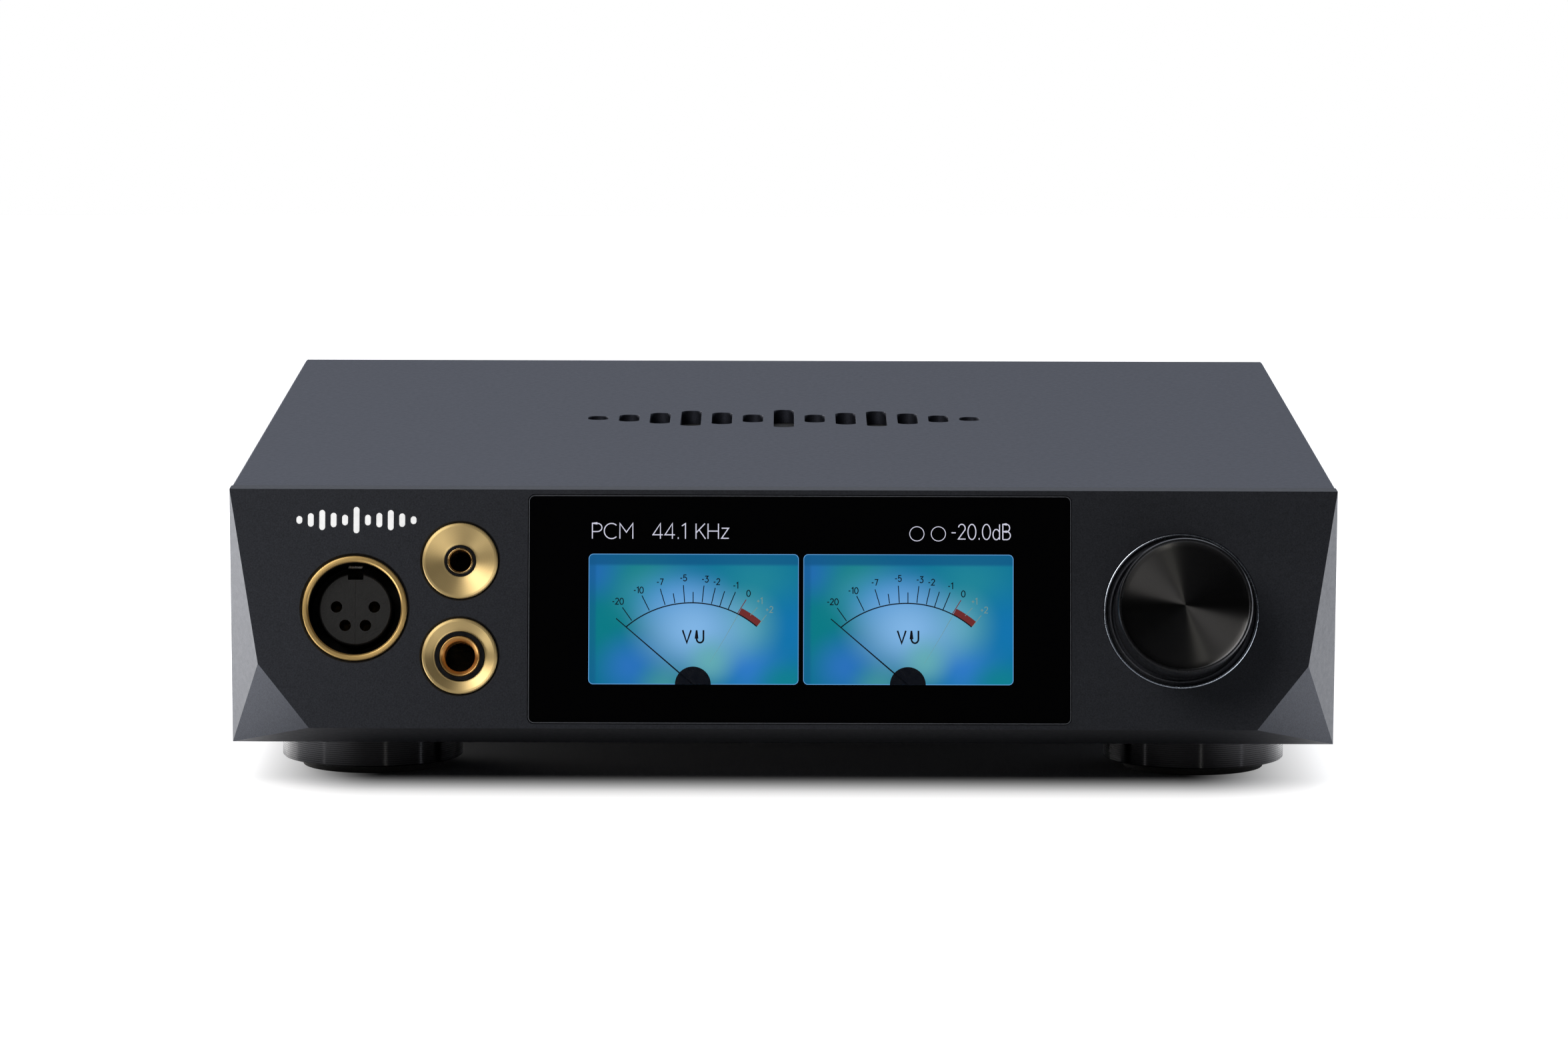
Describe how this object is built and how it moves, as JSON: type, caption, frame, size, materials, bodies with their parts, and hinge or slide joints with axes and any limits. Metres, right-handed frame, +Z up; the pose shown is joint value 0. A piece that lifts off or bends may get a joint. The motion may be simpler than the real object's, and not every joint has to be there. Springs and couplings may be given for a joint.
{
  "type": "desktop dac",
  "caption": "Desktop DAC and headphone amplifier: low aluminium case with a leaning faceted front, dial display, push-turn volume knob, balanced and single-ended headphone sockets.",
  "frame": {"origin": "middle of the bounding box, on the surface it stands on", "axes": "+Z up, the front looks towards -Y, +Y runs to the rear connectors, X across the front"},
  "size_m": [0.232, 0.2962, 0.0635],
  "materials": {
    "case_aluminium": "bead-blasted anthracite anodised aluminium, matt",
    "raw_aluminium": "mill finish",
    "black_mesh": "matt black perforated sheet",
    "display_glass": "clear cover glass over a black dial display",
    "display_panel": "dark colour display",
    "plated_steel": "nickel plated, satin",
    "circuit_board": "solder mask",
    "flex_film": "polyimide film",
    "knob_gloss_black": "spun and polished, black",
    "dark_steel": "black oxide",
    "trim_silver": "bead blasted with a cut edge",
    "white_plastic": "moulded",
    "gold_plate": "gold plated, turned",
    "black_plastic": "moulded, black",
    "white_acrylic": "white diffusing acrylic",
    "brass_posts": "turned",
    "chip_black": "moulded, black",
    "capacitor_sleeve": "heat shrink sleeve",
    "relay_case": "moulded, grey",
    "black_aluminium": "black anodised",
    "core_steel": "varnished laminations",
    "winding_tape": "tape over copper",
    "fuse_glass": "glass tube with caps",
    "rocker_plastic": "moulded, black",
    "black_metal": "black chrome",
    "foot_gloss_black": "turned rings, gloss black",
    "pad_rubber": "soft"
  },
  "bodies": {
    "case": {"front_panel": "case_aluminium", "top_cover": "case_aluminium", "bottom_plate": "case_aluminium", "rear_panel": "case_aluminium", "side_rails": "raw_aluminium", "vent_screen": "black_mesh", "display_glass": "display_glass", "lcd_module": "display_panel", "display_bracket": "plated_steel", "display_driver_board": "circuit_board", "display_flex_cable": "flex_film", "knob_trim_ring": "trim_silver", "encoder_body": "plated_steel", "encoder_nut": "plated_steel", "xlr_bezel": "gold_plate", "xlr_shell": "gold_plate", "xlr_insert": "black_plastic", "xlr_contacts": "gold_plate", "xlr_retention_spring": "plated_steel", "jack_44_bezel": "gold_plate", "jack_44_housing": "black_plastic", "jack_44_sleeve": "gold_plate", "jack_635_bezel": "gold_plate", "jack_635_housing": "black_plastic", "jack_635_ferrule": "gold_plate", "jack_contacts": "gold_plate", "headphone_board": "circuit_board", "status_light_guide": "white_acrylic", "main_board": "circuit_board", "standoffs": "brass_posts", "machine_screws": "dark_steel", "board_chips": "chip_black", "capacitors": "capacitor_sleeve", "output_relays": "relay_case", "amp_heat_sink": "black_aluminium", "amp_transistors": "chip_black", "psu_board": "circuit_board", "psu_shield": "plated_steel", "transformer_core": "core_steel", "transformer_winding": "winding_tape", "iec_inlet": "black_plastic", "iec_pins": "plated_steel", "switch_housing": "black_plastic", "xlr_out_shells": "black_metal", "xlr_out_inserts": "black_plastic", "xlr_out_pins": "gold_plate", "rca_jacks": "gold_plate", "usb_port": "plated_steel", "optical_port": "black_plastic", "feet": "foot_gloss_black", "foot_pads": "pad_rubber", "foot_screws": "dark_steel"},
    "knob_carrier": {"encoder_plunger": "white_plastic"},
    "knob": {"volume_knob": "knob_gloss_black", "knob_set_screw": "dark_steel", "encoder_shaft": "plated_steel"},
    "rocker": {"power_rocker": "rocker_plastic"},
    "fuse_tray": {"fuse_drawer": "black_plastic", "fuse": "fuse_glass"},
    "shutter": {"optical_shutter": "black_plastic"}
  },
  "joints": [
    {"name": "knob_press", "type": "slide", "parent": "case", "child": "knob_carrier", "axis": [0, 0.9781, -0.2079], "range_m": [0, 0.0005], "stiffness_N_per_m": 6000, "springref_m": -0.0001},
    {"name": "knob_turn", "type": "hinge", "parent": "knob_carrier", "child": "knob", "pos_m": [0.0832, -0.12864, 0.03885], "axis": [0, -0.9781, 0.2079], "continuous": true},
    {"name": "rocker_tilt", "type": "hinge", "parent": "case", "child": "rocker", "pos_m": [0.046, 0.1366, 0.036], "axis": [1, 0, 0], "range_deg": [-18, 0]},
    {"name": "fuse_drawer_slide", "type": "slide", "parent": "case", "child": "fuse_tray", "axis": [0, 1, 0], "range_m": [0, 0.015]},
    {"name": "shutter_swing", "type": "hinge", "parent": "case", "child": "shutter", "pos_m": [-0.013, 0.13875, 0.0479], "axis": [1, 0, 0], "range_deg": [-80, 0], "stiffness_Nm_per_rad": 0.0005, "springref_deg": 11.46}
  ]
}
